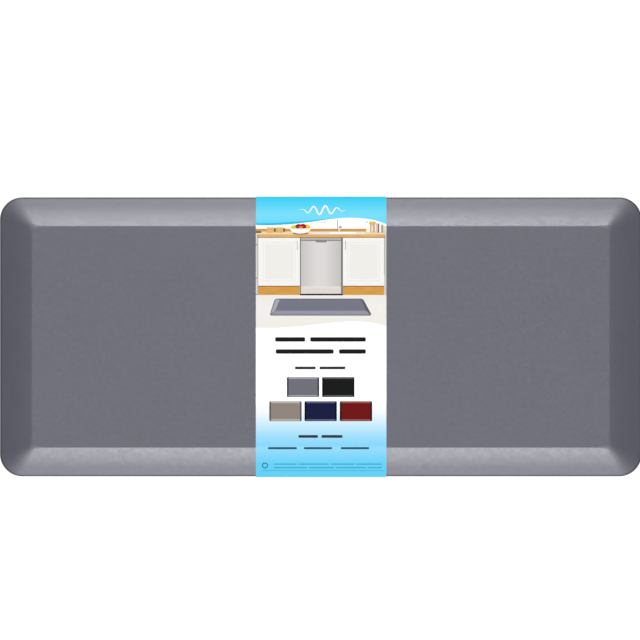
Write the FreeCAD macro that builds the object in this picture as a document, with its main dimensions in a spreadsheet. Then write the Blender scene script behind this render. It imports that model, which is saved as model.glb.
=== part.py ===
import FreeCAD, Part
import os
import Sketcher

# Anti fatigue mat with its packaging sleeve. Lengths are in millimetres.
# +X runs along the mat, +Y across it, +Z up; z = 0 is the underside of the sleeve.
DIMENSIONS = (
    ("mat_length", 1006.3, "along X, edge to edge"),
    ("mat_width", 437.3, "along Y, edge to edge"),
    ("mat_thickness", 19.0, "rib tips to the flat top"),
    ("corner_radius", 35.0, "plan radius of the outer corners"),
    ("field_radius", 6.0, "plan radius of the flat field's corners"),
    ("side_bevel", 45.3, "sloped border along the two long sides"),
    ("end_bevel", 51.2, "sloped border along the two short sides"),
    ("edge_height", 3.2, "upright rim at the foot of the border"),
    ("skin_thickness", 0.8, "top skin over the foam"),
    ("sheet_thickness", 1.2, "non-slip bottom sheet"),
    ("rib_height", 0.6, "ribs below the bottom sheet"),
    ("rib_width", 6.0, "across each rib"),
    ("rib_margin", 24.0, "mat edge to the ribs"),
    ("rib_count", 28.0, "ribs across the width"),
    ("card_thickness", 0.4, "sleeve board"),
    ("tape_thickness", 0.1, "double-sided tape in the sleeve's seam"),
    ("sleeve_width", 204.4, "sleeve along X"),
    ("sleeve_shift", 0.5, "sleeve centre from the mat's centre along X"),
    ("sleeve_gap", 0.3, "free play under and over the mat"),
    ("side_gap", 0.75, "free play at each long side of the mat"),
    ("inner_flap_end", 110.0, "Y of the inner flap's free edge"),
    ("outer_flap_end", 150.0, "Y of the outer flap's free edge"),
    ("tape_margin", 5.0, "flap edge to the tape"),
    ("fold_inside", 0.25, "radius inside the tight folds"),
    ("crease_radius", 3.0, "radius of the soft creases over the border"),
)

# Lengths worked out from the ones above.
DERIVED = (
    ("mat_floor", "2 * card_thickness + tape_thickness + sleeve_gap", "Z of the rib tips"),
    ("base_height", "rib_height + sheet_thickness", "ribs and bottom sheet together"),
    ("rim_height", "edge_height - base_height", "upright part of the top skin"),
    ("form_height", "mat_thickness - base_height", "top skin, underside to top"),
    ("field_length", "mat_length - 2 * end_bevel", "flat field along X"),
    ("field_width", "mat_width - 2 * side_bevel", "flat field along Y"),
    ("crease_y", "field_width / 2", "Y of the fold over the field's edge"),
    ("wall_inside", "mat_width / 2 + side_gap", "Y inside the sleeve's upright wall"),
    ("wall_outside", "wall_inside + card_thickness", "Y outside that wall"),
    ("shoulder_inside", "mat_floor + edge_height + sleeve_gap", "Z inside the wall's upper fold"),
    ("shoulder_outside", "shoulder_inside + card_thickness", "Z outside that fold"),
    ("roof_inside", "mat_floor + mat_thickness + sleeve_gap", "Z under the sleeve's front"),
    ("roof_outside", "roof_inside + card_thickness", "Z of the sleeve's front"),
    ("inner_flap_low", "card_thickness + tape_thickness", "Z under the inner flap"),
    ("inner_flap_high", "inner_flap_low + card_thickness", "Z on top of the inner flap"),
)

PARTS = "parts"


def add_dimensions(doc):
    """Put every driving and derived length in a spreadsheet under its own alias."""
    sheet = doc.addObject("Spreadsheet::Sheet", "Dims")
    rows = [(name, str(value), note) for name, value, note in DIMENSIONS]
    rows += [(name, "=" + formula, note) for name, formula, note in DERIVED]
    for row, (name, content, note) in enumerate(rows, start=1):
        sheet.set(f"A{row}", name)
        sheet.set(f"B{row}", content)
        sheet.set(f"C{row}", note)
        sheet.setAlias(f"B{row}", name)
    doc.recompute()
    return sheet


def new_body(doc, label):
    """Start an empty body for one physical piece."""
    body = doc.addObject("PartDesign::Body", label)
    body.Label = label
    return body


def new_sketch(body, name, role, height=None):
    """Add a sketch on one of the body's own origin planes, raised by height."""
    sketch = body.newObject("Sketcher::SketchObject", name)
    plane = next(f for f in body.Origin.OriginFeatures if f.Role == role)
    sketch.AttachmentSupport = [(plane, "")]
    sketch.MapMode = "FlatFace"
    if height:
        sketch.setExpression("AttachmentOffset.Base.z", height)
    return sketch


def number(sketch, formula):
    """Value of a formula over the spreadsheet, as a plain number."""
    return float(sketch.evalExpression(formula))


def dimension(sketch, kind, *arguments):
    """Add a dimensional constraint whose last argument is a formula, and bind it."""
    *elements, formula = arguments
    value = number(sketch, formula)
    index = sketch.addConstraint(Sketcher.Constraint(kind, *elements, value))
    sketch.setExpression(f"Constraints[{index}]", formula)


def rounded_rectangle(sketch, length, width, radius):
    """Draw a fully constrained rectangle with rounded corners about the origin."""
    x = number(sketch, length) / 2
    y = number(sketch, width) / 2
    r = number(sketch, radius)
    up = FreeCAD.Vector(0, 0, 1)
    sides = (
        ((r - x, -y), (x - r, -y)),
        ((x, r - y), (x, y - r)),
        ((x - r, y), (r - x, y)),
        ((-x, y - r), (-x, r - y)),
    )
    centres = ((x - r, r - y), (x - r, y - r), (r - x, y - r), (r - x, r - y))
    for start, end in sides:
        line = Part.LineSegment(FreeCAD.Vector(*start, 0), FreeCAD.Vector(*end, 0))
        sketch.addGeometry(line, False)
    quarter = 1.5707963267948966
    for turn, centre in enumerate(centres):
        circle = Part.Circle(FreeCAD.Vector(*centre, 0), up, r)
        arc = Part.ArcOfCircle(circle, (turn - 1) * quarter, turn * quarter)
        sketch.addGeometry(arc, False)
    for side in range(4):
        arc = 4 + side
        following = (side + 1) % 4
        sketch.addConstraint(Sketcher.Constraint("Tangent", side, 2, arc, 1))
        sketch.addConstraint(Sketcher.Constraint("Tangent", arc, 2, following, 1))
    for side, kind in enumerate(("Horizontal", "Vertical", "Horizontal", "Vertical")):
        sketch.addConstraint(Sketcher.Constraint(kind, side))
    for arc in (5, 6, 7):
        sketch.addConstraint(Sketcher.Constraint("Equal", 4, arc))
    sketch.addConstraint(Sketcher.Constraint("Symmetric", 4, 3, 6, 3, -1, 1))
    dimension(sketch, "Radius", 4, radius)
    dimension(sketch, "DistanceX", 3, 1, 1, 1, length)
    dimension(sketch, "DistanceY", 0, 1, 2, 2, width)


def polygon(sketch, corners):
    """Draw a closed polygon whose corners are pairs of formulas."""
    points = [FreeCAD.Vector(number(sketch, a), number(sketch, b), 0) for a, b in corners]
    count = len(points)
    for i in range(count):
        line = Part.LineSegment(points[i], points[(i + 1) % count])
        sketch.addGeometry(line, False)
    for i in range(count):
        sketch.addConstraint(Sketcher.Constraint("Coincident", i, 2, (i + 1) % count, 1))
    for i, (across, upward) in enumerate(corners):
        dimension(sketch, "DistanceX", -1, 1, i, 1, across)
        dimension(sketch, "DistanceY", -1, 1, i, 1, upward)


def outline(body, name, inset, height):
    """Sketch the mat's outer outline, drawn in by inset, at the given height."""
    sketch = new_sketch(body, name, "XY_Plane", height)
    rounded_rectangle(
        sketch,
        f"Dims.mat_length - 2 * {inset}",
        f"Dims.mat_width - 2 * {inset}",
        f"Dims.corner_radius - {inset}",
    )
    return sketch


def field(body, name, height):
    """Sketch the flat field's near-square-cornered outline at the given height."""
    sketch = new_sketch(body, name, "XY_Plane", height)
    rounded_rectangle(sketch, "Dims.field_length", "Dims.field_width", "Dims.field_radius")
    return sketch


def bevelled_form(body, prefix, inset, rim, top):
    """Add an upright rim and, on it, the slope that closes in to the flat field."""
    foot = outline(body, prefix + "_foot", inset, "0")
    upright = body.newObject("PartDesign::Pad", prefix + "_rim")
    upright.Profile = foot
    upright.setExpression("Length", rim)
    shoulder = outline(body, prefix + "_shoulder", inset, rim)
    crown = field(body, prefix + "_field", top)
    slope = body.newObject("PartDesign::AdditiveLoft", prefix + "_slope")
    slope.Profile = shoulder
    slope.Sections = [crown]
    slope.Ruled = True
    return slope


def make_foam_core(doc):
    """Cushioning foam that fills the space between the top skin and the bottom sheet."""
    body = new_body(doc, "foam_core")
    rim = "Dims.rim_height - 0.7 * Dims.skin_thickness"
    top = "Dims.form_height - Dims.skin_thickness"
    bevelled_form(body, "core", "Dims.skin_thickness", rim, top)
    body.setExpression("Placement.Base.z", "Dims.mat_floor + Dims.base_height")
    return body


def make_top_skin(doc):
    """Thin skin over the top, the sloped border and the rim, open underneath."""
    body = new_body(doc, "top_skin")
    bevelled_form(body, "skin", "0", "Dims.rim_height", "Dims.form_height")
    rim = "Dims.rim_height - 0.7 * Dims.skin_thickness"
    foot = outline(body, "hollow_foot", "Dims.skin_thickness", "0")
    recess = body.newObject("PartDesign::Pocket", "hollow_rim")
    recess.Profile = foot
    recess.Reversed = True
    recess.setExpression("Length", rim)
    shoulder = outline(body, "hollow_shoulder", "Dims.skin_thickness", rim)
    crown = field(body, "hollow_field", "Dims.form_height - Dims.skin_thickness")
    hollow = body.newObject("PartDesign::SubtractiveLoft", "hollow_slope")
    hollow.Profile = shoulder
    hollow.Sections = [crown]
    hollow.Ruled = True
    body.setExpression("Placement.Base.z", "Dims.mat_floor + Dims.base_height")
    return body


def make_grip_base(doc):
    """Non-slip bottom sheet with low ribs that run the length of the mat."""
    body = new_body(doc, "grip_base")
    sheet = body.newObject("PartDesign::Pad", "bottom_sheet")
    sheet.Profile = outline(body, "sheet_outline", "0", "Dims.rib_height")
    sheet.setExpression("Length", "Dims.sheet_thickness")
    rib_sketch = new_sketch(body, "rib_outline", "XY_Plane")
    half_rib = "Dims.rib_width / 2"
    first = "(Dims.mat_width / 2 - Dims.rib_margin)"
    end = "(Dims.mat_length / 2 - Dims.rib_margin)"
    polygon(
        rib_sketch,
        (
            (f"-{end}", f"-{first} - {half_rib}"),
            (end, f"-{first} - {half_rib}"),
            (end, f"-{first} + {half_rib}"),
            (f"-{end}", f"-{first} + {half_rib}"),
        ),
    )
    rib = body.newObject("PartDesign::Pad", "rib")
    rib.Profile = rib_sketch
    rib.setExpression("Length", "Dims.rib_height")
    ribs = body.newObject("PartDesign::LinearPattern", "ribs")
    ribs.Originals = [rib]
    ribs.Direction = (rib_sketch, ["V_Axis"])
    ribs.setExpression("Length", f"2 * {first}")
    ribs.setExpression("Occurrences", "Dims.rib_count")
    body.Tip = ribs
    body.setExpression("Placement.Base.z", "Dims.mat_floor")
    return body


def edges_along_x(shape, places):
    """Names of the edges that run along X through any of the given (y, z) places."""
    names = []
    for index, edge in enumerate(shape.Edges, start=1):
        middle = edge.CenterOfMass
        spread = edge.BoundBox
        if spread.YLength + spread.ZLength > 0.01:
            continue
        if any(abs(middle.y - y) + abs(middle.z - z) < 0.01 for y, z in places):
            names.append(f"Edge{index}")
    return names


def round_edges(body, name, base, places, radius):
    """Round the edges along X that pass through the given pairs of formulas."""
    spots = [(number(base, y), number(base, z)) for y, z in places]
    fillet = body.newObject("PartDesign::Fillet", name)
    fillet.Base = (base, edges_along_x(base.Shape, spots))
    fillet.setExpression("Radius", radius)
    return fillet


def both_sides(pairs):
    """The given (y, z) formulas together with their mirror images in y."""
    return tuple(pairs) + tuple((f"-{y}", z) for y, z in pairs)


def make_sleeve_card(doc):
    """One strip of board wrapped round the mat, its two ends lapped underneath."""
    body = new_body(doc, "sleeve_card")
    wall_in, wall_out = "Dims.wall_inside", "Dims.wall_outside"
    neck_in, neck_out = "Dims.shoulder_inside", "Dims.shoulder_outside"
    roof_in, roof_out = "Dims.roof_inside", "Dims.roof_outside"
    crease = "Dims.crease_y"
    profile = new_sketch(body, "wrap_profile", "YZ_Plane")
    polygon(
        profile,
        (
            ("Dims.inner_flap_end", "Dims.inner_flap_low"),
            (wall_out, "Dims.inner_flap_low"),
            (wall_out, neck_out),
            (crease, roof_out),
            (f"-{crease}", roof_out),
            (f"-{wall_out}", neck_out),
            (f"-{wall_out}", "0"),
            ("Dims.outer_flap_end", "0"),
            ("Dims.outer_flap_end", "Dims.card_thickness"),
            (f"-{wall_in}", "Dims.card_thickness"),
            (f"-{wall_in}", neck_in),
            (f"-{crease}", roof_in),
            (crease, roof_in),
            (wall_in, neck_in),
            (wall_in, "Dims.inner_flap_high"),
            ("Dims.inner_flap_end", "Dims.inner_flap_high"),
        ),
    )
    wrap = body.newObject("PartDesign::Pad", "wrap")
    wrap.Profile = profile
    wrap.SideType = "Symmetric"
    wrap.setExpression("Length", "Dims.sleeve_width")
    doc.recompute()
    inside = both_sides(((wall_in, neck_in),))
    inside += ((wall_in, "Dims.inner_flap_high"), (f"-{wall_in}", "Dims.card_thickness"))
    tight = round_edges(body, "folds_inside", wrap, inside, "Dims.fold_inside")
    doc.recompute()
    outside = both_sides(((wall_out, neck_out),))
    outside += ((wall_out, "Dims.inner_flap_low"), (f"-{wall_out}", "0"))
    outer_radius = "Dims.fold_inside + Dims.card_thickness"
    folds = round_edges(body, "folds_outside", tight, outside, outer_radius)
    doc.recompute()
    creases = both_sides(((crease, roof_in), (crease, roof_out)))
    round_edges(body, "border_creases", folds, creases, "Dims.crease_radius")
    body.setExpression("Placement.Base.x", "Dims.sleeve_shift")
    return body


def make_sleeve_glue_tape(doc):
    """Double-sided tape that joins the sleeve's two lapped flaps."""
    body = new_body(doc, "sleeve_glue_tape")
    sketch = new_sketch(body, "tape_outline", "XY_Plane")
    near = "Dims.inner_flap_end + Dims.tape_margin"
    far = "Dims.outer_flap_end - Dims.tape_margin"
    end = "(Dims.sleeve_width / 2 - Dims.tape_margin)"
    polygon(sketch, ((f"-{end}", near), (end, near), (end, far), (f"-{end}", far)))
    strip = body.newObject("PartDesign::Pad", "tape_strip")
    strip.Profile = sketch
    strip.setExpression("Length", "Dims.tape_thickness")
    body.setExpression("Placement.Base.x", "Dims.sleeve_shift")
    body.setExpression("Placement.Base.z", "Dims.card_thickness")
    return body


def check_objects(doc):
    """Stop when any object of the document failed to compute."""
    for thing in doc.Objects:
        faults = {"Invalid", "Error"} & set(thing.State)
        if faults:
            raise RuntimeError(f"{thing.Label}: {sorted(faults)}")


def export(body):
    """Write one checked solid to its own STEP file."""
    shape = body.Shape
    if shape.isNull() or not shape.isValid() or len(shape.Solids) != 1:
        raise RuntimeError(f"{body.Label} is not one valid solid")
    shape.exportStep(os.path.join(PARTS, body.Label + ".step"))
    size = shape.BoundBox
    print(
        f"{body.Label}: {shape.Volume / 1000:.2f} cm3, "
        f"{size.XLength:.2f} x {size.YLength:.2f} x {size.ZLength:.2f} mm, "
        f"z {size.ZMin:.2f} to {size.ZMax:.2f}"
    )


def main():
    doc = FreeCAD.newDocument("anti_fatigue_mat")
    add_dimensions(doc)
    bodies = [
        make_top_skin(doc),
        make_foam_core(doc),
        make_grip_base(doc),
        make_sleeve_card(doc),
        make_sleeve_glue_tape(doc),
    ]
    doc.recompute()
    check_objects(doc)
    os.makedirs(PARTS, exist_ok=True)
    for body in bodies:
        export(body)


main()
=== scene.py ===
"""Looks of a cushioned standing mat and its slide-off packaging sleeve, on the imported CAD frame."""

import bisect
import math

import bmesh
import bpy
from mathutils import Matrix, Vector, noise


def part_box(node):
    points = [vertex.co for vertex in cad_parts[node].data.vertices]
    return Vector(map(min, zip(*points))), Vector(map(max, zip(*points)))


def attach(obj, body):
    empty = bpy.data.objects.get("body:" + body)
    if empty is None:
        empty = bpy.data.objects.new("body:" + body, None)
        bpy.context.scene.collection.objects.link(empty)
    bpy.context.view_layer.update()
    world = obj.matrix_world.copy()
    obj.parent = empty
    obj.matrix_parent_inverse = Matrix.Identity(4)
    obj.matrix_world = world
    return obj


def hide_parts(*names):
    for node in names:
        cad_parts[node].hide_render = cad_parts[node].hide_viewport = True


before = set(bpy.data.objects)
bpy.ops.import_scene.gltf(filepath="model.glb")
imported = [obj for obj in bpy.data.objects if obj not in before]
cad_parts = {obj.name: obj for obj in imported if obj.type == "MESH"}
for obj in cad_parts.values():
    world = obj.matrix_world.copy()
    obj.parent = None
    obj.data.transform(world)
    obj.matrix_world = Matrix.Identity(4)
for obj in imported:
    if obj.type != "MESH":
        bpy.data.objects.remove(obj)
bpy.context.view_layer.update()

MM = 0.001
STAGE_LIGHT = 1.40  # how much brighter than its own colour a print looks under the stage's lights
PRINT_GLOSS = 0.06

# ---------------------------------------------------------------- sizes, in metres
SKIN_LOW, SKIN_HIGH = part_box("top_skin")
BASE_LOW, BASE_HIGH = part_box("grip_base")
FOAM_LOW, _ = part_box("foam_core")
CARD_LOW, CARD_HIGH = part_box("sleeve_card")
TAPE_LOW, TAPE_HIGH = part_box("sleeve_glue_tape")

HALF_LENGTH = SKIN_HIGH.x
HALF_WIDTH = SKIN_HIGH.y
SIDE_BEVEL = 45.3 * MM
END_BEVEL = 51.2 * MM
CORNER_RADIUS = 35 * MM
FIELD_RADIUS = 6 * MM
CREASE_X = HALF_LENGTH - END_BEVEL
CREASE_Y = HALF_WIDTH - SIDE_BEVEL
SKIN_THICKNESS = 0.8 * MM
FOAM_GAP = 0.03 * MM
RIB_HEIGHT = 0.6 * MM
RIB_WIDTH = 6 * MM
RIB_MARGIN = 24 * MM
RIB_SEAT = 0.05 * MM
RIB_COUNT = 28

CARD_THICKNESS = 0.4 * MM
SLEEVE_X = (CARD_LOW.x + CARD_HIGH.x) / 2
SLEEVE_HALF = (CARD_HIGH.x - CARD_LOW.x) / 2
SHOULDER_LIFT = 1.4 * MM
SHOULDER_Z = CARD_HIGH.z - (SKIN_HIGH.z - SKIN_LOW.z) + SHOULDER_LIFT
FLAP_MARGIN = 5 * MM

CORNER_STEPS = 16
LONG_STEPS = 150
SHORT_STEPS = 58
WELD_REACH = 0.001 * MM  # vertices closer than this become one


# ---------------------------------------------------------------- materials
def srgb(red, green, blue):
    """The surface colour that looks like this screen colour, 0 to 255, under the stage's lights."""
    def linear(value):
        value /= 255
        return value / 12.92 if value <= 0.04045 else ((value + 0.055) / 1.055) ** 2.4
    return tuple(linear(value) / STAGE_LIGHT for value in (red, green, blue)) + (1.0,)


class Shade:
    """A Principled material, with short ways to add nodes in front of it."""

    def __init__(self, name, colour, roughness, **sockets):
        self.material = bpy.data.materials.new(name)
        self.material.use_nodes = True
        self.tree = self.material.node_tree
        self.shader = self.tree.nodes["Principled BSDF"]
        self.set("Base Color", colour)
        self.set("Roughness", roughness)
        for socket, value in sockets.items():
            self.set(socket.replace("_", " "), value)
        self.place = self.add("ShaderNodeTexCoord").outputs["Object"]

    def put(self, target, value):
        """Set a socket, or link it when the value is another node's output."""
        if isinstance(value, bpy.types.NodeSocket):
            self.tree.links.new(value, target)
        else:
            target.default_value = value

    def set(self, socket, value):
        self.put(self.shader.inputs[socket], value)

    def add(self, kind, inputs=(), **settings):
        node = self.tree.nodes.new(kind)
        for key, value in settings.items():
            setattr(node, key, value)
        for key, value in dict(inputs).items():
            self.put(node.inputs[key], value)
        return node

    def noise(self, size, detail=2.0, roughness=0.5):
        """Soft noise whose features are about this many metres across."""
        inputs = {"Vector": self.place, "Scale": 1 / size, "Detail": detail, "Roughness": roughness}
        return self.add("ShaderNodeTexNoise", inputs).outputs["Fac"]

    def streaks(self, scale, **inputs):
        """Noise drawn out along the axes, its scale the number of features per metre on each."""
        stretch = self.add("ShaderNodeMapping", {"Vector": self.place, "Scale": scale})
        inputs |= {"Vector": stretch.outputs["Vector"], "Scale": 1.0}
        return self.add("ShaderNodeTexNoise", inputs).outputs["Fac"]

    def cells(self, size, feature="F1"):
        """Distance pattern of rounded cells about this many metres across."""
        inputs = {"Vector": self.place, "Scale": 1 / size}
        return self.add("ShaderNodeTexVoronoi", inputs, feature=feature).outputs["Distance"]

    def math(self, operation, *values):
        node = self.add("ShaderNodeMath", enumerate(values), operation=operation)
        return node.outputs["Value"]

    def spread(self, factor, low, high):
        """Carry noise, whose middle runs from about 0.3 to 0.7, to the range low to high."""
        inputs = {"Value": factor, "From Min": 0.3, "From Max": 0.7, "To Min": low, "To Max": high}
        return self.add("ShaderNodeMapRange", inputs).outputs["Result"]

    def vary(self, factor, colour, depth):
        """The colour made lighter and darker by up to depth, as the noise says."""
        dark = tuple(c * (1 - depth) for c in colour[:3]) + (1,)
        light = tuple(min(1, c * (1 + depth)) for c in colour[:3]) + (1,)
        return self.ramp(self.spread(factor, 0, 1), [(0, dark), (1, light)])

    def ramp(self, factor, stops):
        """Colours at places from 0 to 1, smooth in between."""
        node = self.add("ShaderNodeValToRGB", {"Fac": factor})
        elements = node.color_ramp.elements
        while len(elements) < len(stops):
            elements.new(0.5)
        for element, (place, colour) in zip(elements, stops):
            element.position = place
            element.color = colour
        return node.outputs["Color"]

    def blend(self, factor, first, second):
        node = self.add("ShaderNodeMix", data_type="RGBA")
        self.put(node.inputs[0], factor)
        self.put(node.inputs[6], first)
        self.put(node.inputs[7], second)
        return node.outputs[2]

    def bump(self, height, depth, strength=1.0):
        """Raise the surface by up to depth metres as the height says."""
        inputs = {"Height": height, "Distance": depth, "Strength": strength}
        self.set("Normal", self.add("ShaderNodeBump", inputs).outputs["Normal"])


def skin_material():
    """Leather-like polyurethane: fine pebbled grain, satin sheen, and painted shade that darkens its
    rounded rim.
    """
    # The second colour is the rim's painted shade, the dark tone its rounded foot is given.
    colour, edge = (0.0635, 0.0635, 0.0845, 1), (0.022, 0.022, 0.028, 1)
    rim_shade_end, border_start = SKIN_LOW.z + 1.5 * MM, SKIN_LOW.z + 2.9 * MM
    shade = Shade("polyurethane_skin", colour, 0.4, Specular_IOR_Level=0.9,
                  Specular_Tint=(0.95, 0.95, 1, 1))
    cloud = shade.noise(90 * MM, 3)
    height = shade.add("ShaderNodeSeparateXYZ", {"Vector": shade.place}).outputs["Z"]
    # Painted shade on the rim: its colour darkens from the border's start down towards its foot,
    # standing in for the shade where the rounded rim turns away from the lights.
    span = {"Value": height, "From Min": rim_shade_end, "From Max": border_start}
    inward = shade.add("ShaderNodeMapRange", span).outputs["Result"]
    shade.set("Base Color", shade.blend(inward, edge, shade.vary(cloud, colour, 0.035)))
    mottle = shade.noise(7 * MM, 4)
    shade.set("Roughness", shade.spread(mottle, 0.37, 0.42))
    pebble = shade.cells(1.5 * MM, "SMOOTH_F1")
    pore = shade.noise(0.5 * MM, 2)
    relief = shade.math("ADD", pebble, shade.math("MULTIPLY", pore, 0.35))
    shade.bump(relief, 0.05 * MM, 0.45)
    return shade.material


def foam_material():
    """Cut face of dark cushioning foam, full of small round cells whose hollows are darkened with
    painted shade.
    """
    colour, pit_shade = (0.035, 0.035, 0.04, 1), (0.012, 0.012, 0.015, 1)
    shade = Shade("cushion_foam", colour, 0.95, Specular_IOR_Level=0.2)
    cells = shade.cells(0.9 * MM)
    # Painted shade: the cells' hollows, sunk by the bump below, are coloured darker.
    shade.set("Base Color", shade.ramp(cells, [(0.1, pit_shade), (0.6, colour)]))
    shade.bump(cells, 0.3 * MM, 0.8)
    return shade.material


def rubber_material():
    """Moulded non-slip backing: matt, faintly dusty, with a fine cast texture."""
    colour = (0.032, 0.032, 0.036, 1)
    shade = Shade("grip_rubber", colour, 0.8, Specular_IOR_Level=0.35)
    bloom = shade.noise(38 * MM, 5, 0.6)
    shade.set("Base Color", shade.vary(bloom, colour, 0.3))
    shade.set("Roughness", shade.spread(shade.noise(12 * MM, 3), 0.7, 0.9))
    shade.bump(shade.cells(0.8 * MM), 0.08 * MM, 0.7)
    return shade.material


def board_material(name, colour, roughness, fibre):
    """Paperboard: long faint fibres and soft cloudiness in the sheet."""
    shade = Shade(name, colour, roughness, Specular_IOR_Level=0.35)
    fibres = shade.streaks((900, 3200, 900))
    cloud = shade.noise(11 * MM, 4)
    mixed = shade.math("ADD", shade.math("MULTIPLY", fibres, 0.6),
                       shade.math("MULTIPLY", cloud, 0.4))
    shade.set("Base Color", shade.vary(mixed, colour, fibre))
    shade.bump(fibres, 0.01 * MM, 0.35)
    return shade.material


def ink_material(name, stops, axis="Y"):
    """Printed ink on coated board. Stops are (place in metres, colour), one or more."""
    tone = stops[0][1]
    shade = Shade(name, tone, 0.62, Specular_IOR_Level=PRINT_GLOSS)
    speckle = shade.noise(0.9 * MM, 1)
    if len(stops) > 1:
        along = shade.add("ShaderNodeSeparateXYZ", {"Vector": shade.place}).outputs[axis]
        low, high = stops[0][0], stops[-1][0]
        inputs = {"Value": along, "From Min": low, "From Max": high}
        share = shade.add("ShaderNodeMapRange", inputs).outputs["Result"]
        shares = [((place - low) / (high - low), colour) for place, colour in stops]
        fade, fleck = shade.ramp(share, shares), (0.6, 0.6, 0.6, 1)
        shade.set("Base Color", shade.blend(shade.spread(speckle, 0.0, 0.03), fade, fleck))
    else:
        shade.set("Base Color", shade.vary(speckle, tone, 0.035))
    shade.set("Roughness", shade.spread(shade.noise(20 * MM, 2), 0.59, 0.65))
    return shade.material


def plain_ink(name, colour):
    """Printed ink of one screen colour."""
    return ink_material(f"ink_{name}", [(0, srgb(*colour))])


def fading_ink(name, stops):
    """Printed ink that changes across the mat. Stops are (place in millimetres, screen colour)."""
    return ink_material(f"ink_{name}", [(place * MM, srgb(*colour)) for place, colour in stops])


def wood_ink(name, light, dark):
    """Printed wood in two screen colours, its fine grain running along the mat."""
    light, dark = srgb(*light), srgb(*dark)
    shade = Shade(f"wood_{name}", light, 0.62, Specular_IOR_Level=PRINT_GLOSS)
    grain = shade.spread(shade.streaks((45, 800, 45), Detail=3.0), 0, 1)
    shade.set("Base Color", shade.ramp(grain, [(0, dark), (1, light)]))
    return shade.material


# ---------------------------------------------------------------- mesh helpers
def finish_piece(name, mesh, body, materials, replaced=()):
    """Make an object of the mesh, give it its looks and fasten it to its CAD body."""
    for material in materials:
        mesh.materials.append(material)
    mesh.validate()
    mesh.shade_smooth()
    mesh.set_sharp_from_angle(angle=math.radians(40))
    piece = bpy.data.objects.new(name, mesh)
    bpy.context.scene.collection.objects.link(piece)
    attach(piece, body)
    if replaced:
        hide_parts(*replaced)
    return piece


def mesh_from(name, bm):
    """Close up a bmesh into a mesh with all its faces turned outward."""
    bmesh.ops.recalc_face_normals(bm, faces=bm.faces)
    mesh = bpy.data.meshes.new(name)
    bm.to_mesh(mesh)
    bm.free()
    return mesh


def outline(half_x, half_y, radius):
    """Rounded rectangle, with the same count of points whatever its size."""
    corners = ((1, -1), (1, 1), (-1, 1), (-1, -1))
    arcs = []
    for turn, (side_x, side_y) in enumerate(corners):
        centre_x = side_x * (half_x - radius)
        centre_y = side_y * (half_y - radius)
        arc = []
        for k in range(CORNER_STEPS + 1):
            angle = (turn - 1 + k / CORNER_STEPS) * math.pi / 2
            arc.append((centre_x + radius * math.cos(angle), centre_y + radius * math.sin(angle)))
        arcs.append(arc)
    points = []
    for turn, arc in enumerate(arcs):
        points += arc
        start, end = arc[-1], arcs[(turn + 1) % 4][0]
        steps = LONG_STEPS if turn % 2 else SHORT_STEPS
        for k in range(1, steps):
            points.append(mix(start, end, k / steps))
    return points


def mix(first, second, share):
    """Place part of the way from the first to the second."""
    return tuple(a + (b - a) * share for a, b in zip(first, second))


# ---------------------------------------------------------------- the mat
SHOULDER_ROUND = 2.4 * MM
SHOULDER_END = math.radians(68)
RIM_STEPS = 8
RIM_SINK = 0.3 * MM
RIM_STEP_UP = 0.03 * MM
INNER_SINK = 0.4
CREASE_ROUND = 1.2 * MM
CORNER_SOFTNESS = 3.6
CORNER_REACH = 11 * MM
# The border's slope over its mean: STEEP up to the share STEADY of its width, easing to GENTLE.
STEEP = 1.16
STEADY = 0.28
GENTLE = 2 * (1 - STEEP * STEADY) / (1 - STEADY) - STEEP
BEVEL_STEPS = 22
NEAR_CREASE = [gap * MM for gap in (6.0, 4.6, 3.4, 2.3, 1.6, 1.2, 0.8, 0.4)]
HAND_WAVES = ((7, 3.1, 0.13), (24, 8.7, 0.03))  # waves per metre, level in the noise, depth in mm
DOME_LEVELS, DOME_STEPS, DOME_TAPER = 4, 10, 0.45  # the rounding of the ribs under the mat


def border_rise(share):
    """How much of its rise the border has made at a share of its width: straight, then easing."""
    eased = max(0, share - STEADY)
    return STEEP * share - (STEEP - GENTLE) * eased ** 2 / (2 * (1 - STEADY))


def hand_feel(x, y):
    """Slight unevenness of a soft moulded surface, in metres."""
    rise = 0
    for pitch, level, depth in HAND_WAVES:
        rise += depth * noise.noise(Vector((x * pitch, y * pitch, level)))
    return rise * MM


def crease_round(x, y):
    """How widely the crease is rounded at a place on it: crisp on the sides, soft in the corners."""
    away = math.hypot(CREASE_X - abs(x), CREASE_Y - abs(y))
    return CREASE_ROUND * (1 + CORNER_SOFTNESS * math.exp(-(away / CORNER_REACH) ** 2))


def rim_rings(inset, drop, rim_z):
    """Rings of points up the rounded rim, from its foot to the start of the sloped border."""
    half_x, half_y, radius = HALF_LENGTH - inset, HALF_WIDTH - inset, CORNER_RADIUS - inset
    centre_z = SKIN_LOW.z - RIM_SINK - drop * INNER_SINK
    rings = [[(x, y, rim_z) for x, y in outline(half_x, half_y, radius)]]
    first = math.asin((rim_z + RIM_STEP_UP - centre_z) / SHOULDER_ROUND)
    for k in range(RIM_STEPS + 1):
        angle = first + (SHOULDER_END - first) * k / RIM_STEPS
        pull = SHOULDER_ROUND * (1 - math.cos(angle))
        height = centre_z + SHOULDER_ROUND * math.sin(angle)
        ring = outline(half_x - pull, half_y - pull, radius - pull)
        rings.append([(x, y, height) for x, y in ring])
    return rings


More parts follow.
